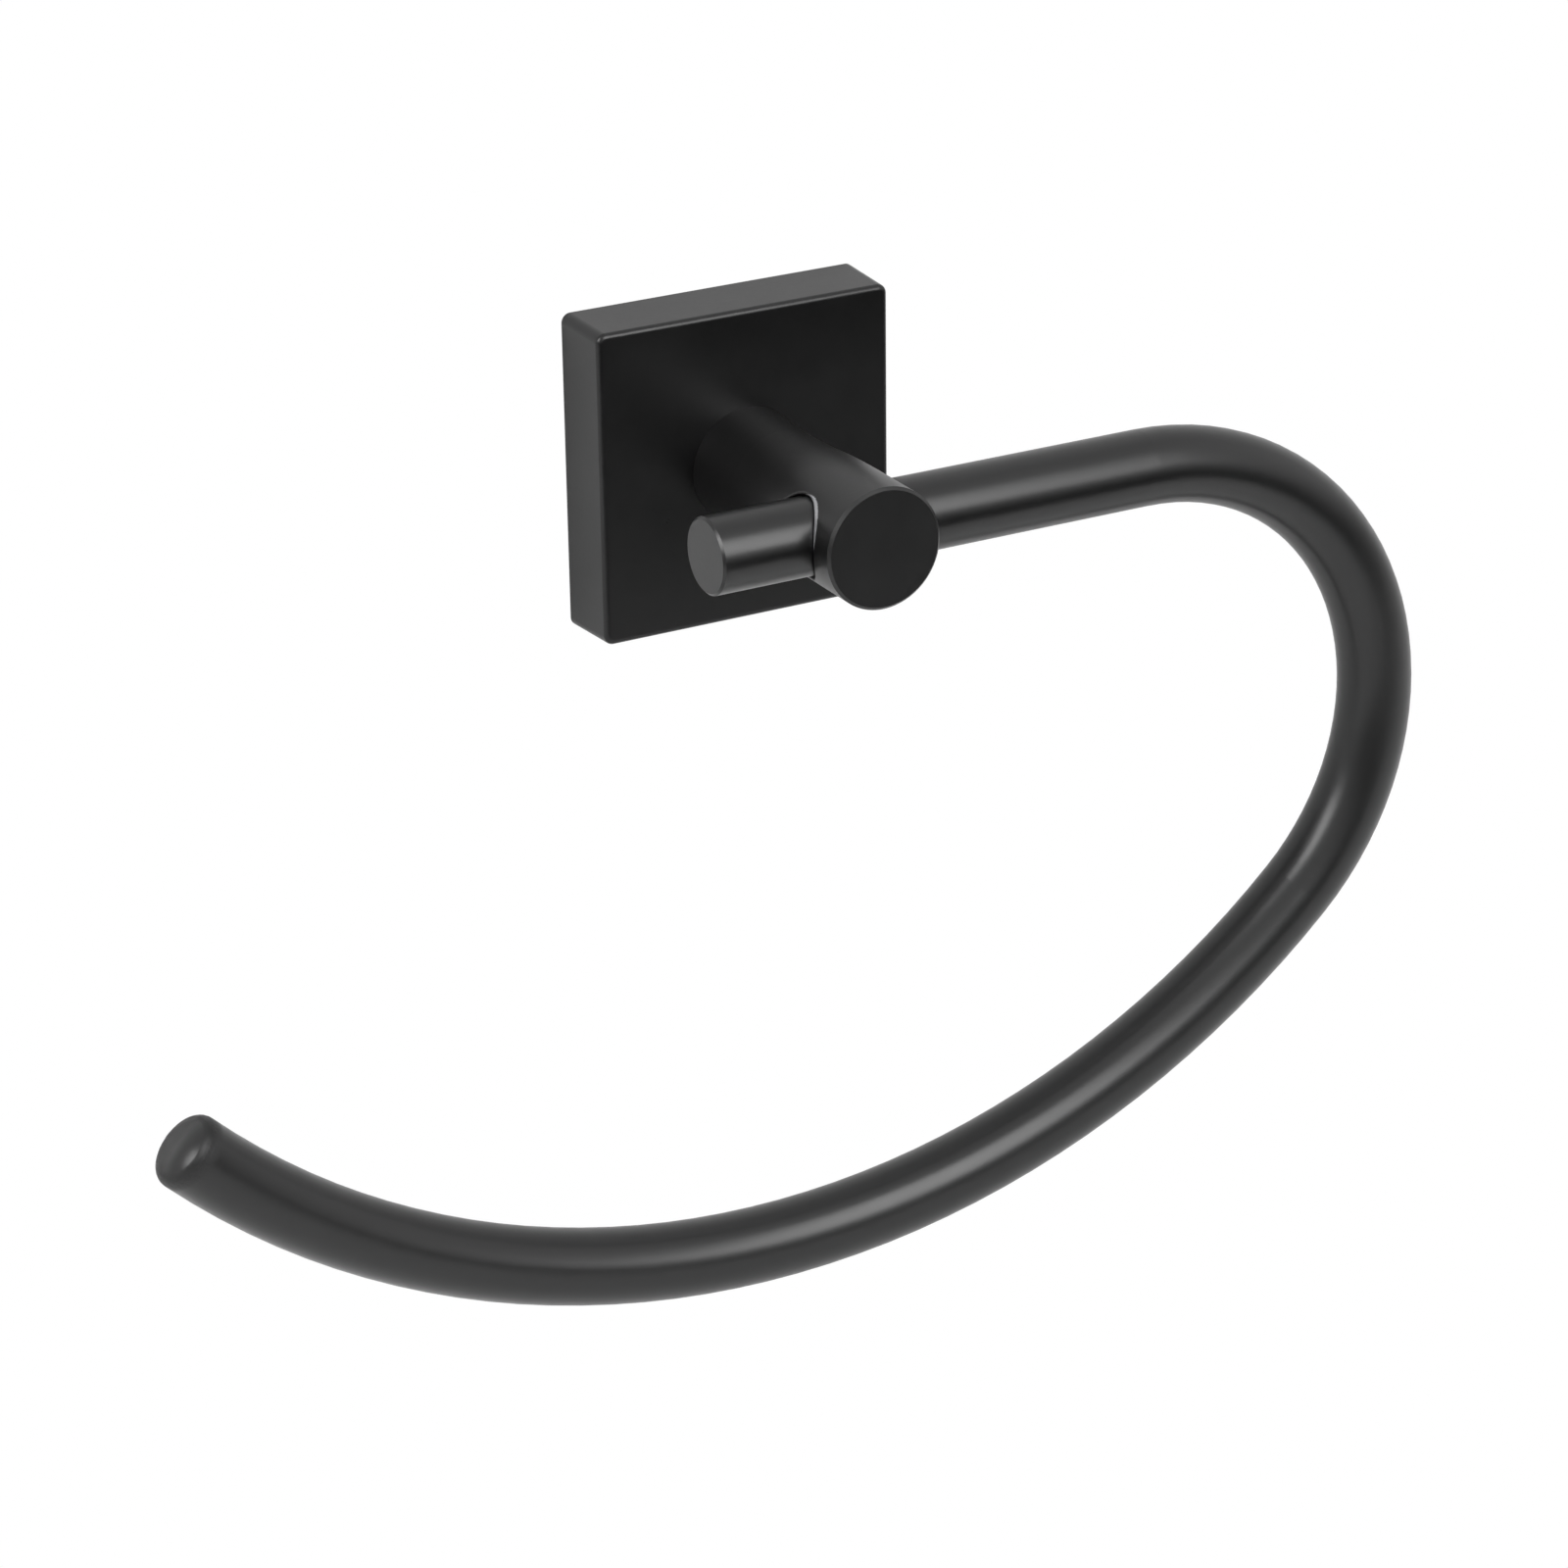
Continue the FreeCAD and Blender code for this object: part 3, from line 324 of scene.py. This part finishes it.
# %% Dome the open end
BAR_RADIUS = 0.00635
DOME_RADIUS = 0.0066
TIP = (-0.1186, -0.0460, -0.07909)
TIP_AXIS = (-0.6959, 0.0, 0.7181)
END_BEGINS = -0.0030
WELL_IN_END = -0.0018
RIM_BEGINS = 0.0045
WELL_IN_RIM = 0.0056
DULL_MIDDLE = 0.3


def domed_end(recipe, place):
    """The height of the low dome, in metres, and how dull the bar's end is, from 0 to 1."""
    from_axis, beyond = distance_from_line(recipe, place, TIP, TIP_AXIS)
    dome = (BAR_RADIUS ** 2 - from_axis * from_axis) * (0.5 / DOME_RADIUS)
    height = recipe.node("ShaderNodeMath", {"operation": "MAXIMUM"}, {0: dome, 1: 0.0})["Value"]
    at_end = soft_step(recipe, beyond, END_BEGINS, WELL_IN_END)
    rim = soft_step(recipe, from_axis, RIM_BEGINS, WELL_IN_RIM)
    return height * at_end, (DULL_MIDDLE + (1.0 - DULL_MIDDLE) * rim) * at_end


dome_height = 0.5 * BAR_RADIUS ** 2 / DOME_RADIUS
print("The dome is", round(1000 * dome_height, 2), "mm high in the shading")

# %% [markdown]
# The cover, the post and the bar share one satin black paint, sprayed and baked. Close up it has the
# fine dimples of a sprayed coat, under a millimetre across, and its sheen varies a little where the coat
# is thicker. One plain colour with one roughness would look like plastic, so a fine and a coarse noise
# go into the colour and the roughness, and the fine one makes the bumps too. They read the place on the
# part itself, in metres, so the grain keeps its real size on every piece.
#
# The post is the dullest and the cover mirrors the least. These numbers were chosen to bring the greys
# near the photographed ones, and nothing that shows on the product explains them.

# %% Mix the satin paint
DEEP_BLACK = (0.0030, 0.0030, 0.0031, 1.0)
THIN_BLACK = (0.0048, 0.0047, 0.0049, 1.0)
# The pale metal colour of the painted highlight at the mouth of the bore.
HIGHLIGHT_METAL = (0.58, 0.58, 0.60, 1.0)
DIMPLE_DEPTH = 0.0001
DULLER_END = 0.2


def tint(recipe, share, first, second):
    """A colour between two others."""
    return recipe.node("ShaderNodeMix", {"data_type": "RGBA", "clamp_factor": True}, {
        "Factor": share, "A": first, "B": second,
    })["Result"]


def start_finish(name):
    """A new finish, its empty recipe, and the place on the part in metres."""
    finish = bpy.data.materials.new(name)
    recipe = Recipe(finish)
    return finish, recipe, recipe.node("ShaderNodeTexCoord", {}, {})["Object"]


def coat_with(recipe, look):
    """Ends a finish: one surface with that look."""
    surface = recipe.node("ShaderNodeBsdfPrincipled", {}, look)
    recipe.node("ShaderNodeOutputMaterial", {}, {"Surface": surface["BSDF"]})


def satin_paint(name, dimple_mm, mottle_mm, dullness, gloss=0.5, mouth_highlight_mask=None, domed=None):
    """Satin black paint with dimples and mottle of the given sizes."""
    coat, recipe, place = start_finish(name)
    dimples = cloudy(recipe, place, scale=1000.0 / dimple_mm, detail=2.0, roughness=0.45)
    mottle = cloudy(recipe, place, scale=1000.0 / mottle_mm, detail=3.0, roughness=0.5)
    shade = tint(recipe, mottle * 0.8 + dimples * 0.2, DEEP_BLACK, THIN_BLACK)
    roughness = dullness + 0.06 * (mottle - 0.5) + 0.04 * (dimples - 0.5)
    dimpled = {"Strength": 0.05, "Distance": DIMPLE_DEPTH, "Height": dimples}
    if domed:
        height, dull_end = domed(recipe, place)
        dome = recipe.node("ShaderNodeBump", {}, {"Strength": 1.0, "Distance": 1.0, "Height": height})
        dimpled["Normal"] = dome["Normal"]
        roughness = roughness + DULLER_END * dull_end
    look = {
        "Base Color": shade,
        "Roughness": roughness,
        "IOR": 1.5,
        "Specular IOR Level": gloss,
        "Normal": recipe.node("ShaderNodeBump", {}, dimpled)["Normal"],
    }
    # A painted highlight: the crescent at the bore's mouth is made pale and metallic.
    if mouth_highlight_mask:
        highlight_share = mouth_highlight_mask(recipe, place)
        look["Metallic"] = highlight_share
        look["Base Color"] = tint(recipe, highlight_share, shade, HIGHLIGHT_METAL)
    coat_with(recipe, look)
    print(name, "with dimples of", dimple_mm, "mm")
    return coat


cover_paint = satin_paint(
    "satin_paint_on_casting", dimple_mm=0.9, mottle_mm=9.0, dullness=0.30, gloss=0.4)
# The post carries the painted highlight at the mouth of its bore.
post_paint = satin_paint(
    "satin_paint_on_turning", dimple_mm=0.7, mottle_mm=8.0, dullness=0.35, mouth_highlight_mask=painted_bore_highlight)
bar_paint = satin_paint(
    "satin_paint_on_bar", dimple_mm=0.7, mottle_mm=12.0, dullness=0.305, domed=domed_end)

# %% [markdown]
# The bracket, the washer and the post's screw are steel with bright zinc. Behind a cover nobody
# polishes them: the zinc has small cloudy crystals over the faint grain of the steel. The grain is the
# same cloudy noise as on the paint. On the rolled bracket it is drawn out upright, and on the screw and
# its washer it is pressed together along the screw, into short marks round it as from turning.

# %% Plate the hidden steel
DARK_ZINC = (0.48, 0.49, 0.51, 1.0)
LIGHT_ZINC = (0.62, 0.63, 0.64, 1.0)
CRYSTALS_PER_METRE = 900.0


def bright_zinc(name, grains_per_metre):
    """Zinc plating with cloudy crystals, over a grain of that fineness along X, Y and Z."""
    plate, recipe, place = start_finish(name)
    crystals = recipe.node("ShaderNodeTexVoronoi", {"feature": "F1"}, {
        "Vector": place, "Scale": CRYSTALS_PER_METRE, "Randomness": 1.0,
    })["Distance"]
    stretched = recipe.node("ShaderNodeMapping", {"vector_type": "POINT"}, {
        "Vector": place, "Scale": grains_per_metre,
    })["Vector"]
    grain = cloudy(recipe, stretched, scale=1.0, detail=4.0, roughness=0.6)
    grained = {"Strength": 0.15, "Distance": 0.00005, "Height": grain}
    coat_with(recipe, {
        "Base Color": tint(recipe, 0.6 * crystals + 0.4 * grain, DARK_ZINC, LIGHT_ZINC),
        "Metallic": 1.0,
        "Roughness": 0.28 + 0.12 * crystals + 0.06 * grain,
        "Normal": recipe.node("ShaderNodeBump", {}, grained)["Normal"],
    })
    print(name, "plated")
    return plate


bracket_zinc = bright_zinc("zinc_on_rolled_sheet", (6000.0, 6000.0, 400.0))
screw_zinc = bright_zinc("zinc_on_screw", (2500.0, 9000.0, 2500.0))

# %% [markdown]
# The two grub screws are blackened in hot oil. That leaves a thin dark skin, slightly brown, with the
# speckle of the steel showing through. Nobody paints them, so the satin paint would be wrong here,
# although it is black too.

# %% Blacken the grub screws
DARK_SKIN = (0.018, 0.017, 0.016, 1.0)
LIGHT_SKIN = (0.034, 0.032, 0.031, 1.0)


def oil_black(name):
    """Blackened steel with a fine speckle."""
    skin, recipe, place = start_finish(name)
    speckle = cloudy(recipe, place, scale=3500.0, detail=3.0, roughness=0.6)
    speckled = {"Strength": 0.1, "Distance": 0.00003, "Height": speckle}
    coat_with(recipe, {
        "Base Color": tint(recipe, speckle, DARK_SKIN, LIGHT_SKIN),
        "Metallic": 0.6,
        "Roughness": 0.30 + 0.15 * speckle,
        "Normal": recipe.node("ShaderNodeBump", {}, speckled)["Normal"],
    })
    print(name, "blackened")
    return skin


grub_black = oil_black("oil_blackened_steel")

# %% [markdown]
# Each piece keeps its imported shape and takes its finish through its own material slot. The shapes come
# with smooth edges already, so nothing is added to them.

# %% Dress the pieces
FINISHES = {
    "cover_plate": cover_paint,
    "post": post_paint,
    "ring_bar": bar_paint,
    "wall_bracket": bracket_zinc,
    "spring_washer": screw_zinc,
    "post_screw": screw_zinc,
    "cover_set_screw": grub_black,
    "bar_set_screw": grub_black,
}
for name, finish in FINISHES.items():
    pieces[name].material_slots[0].material = finish
    print(name, "is finished in", finish.name)

# %% [markdown]
# The picture is written with plain colours.

# %% Finish with plain colours
bpy.context.scene.view_settings.view_transform = "Standard"
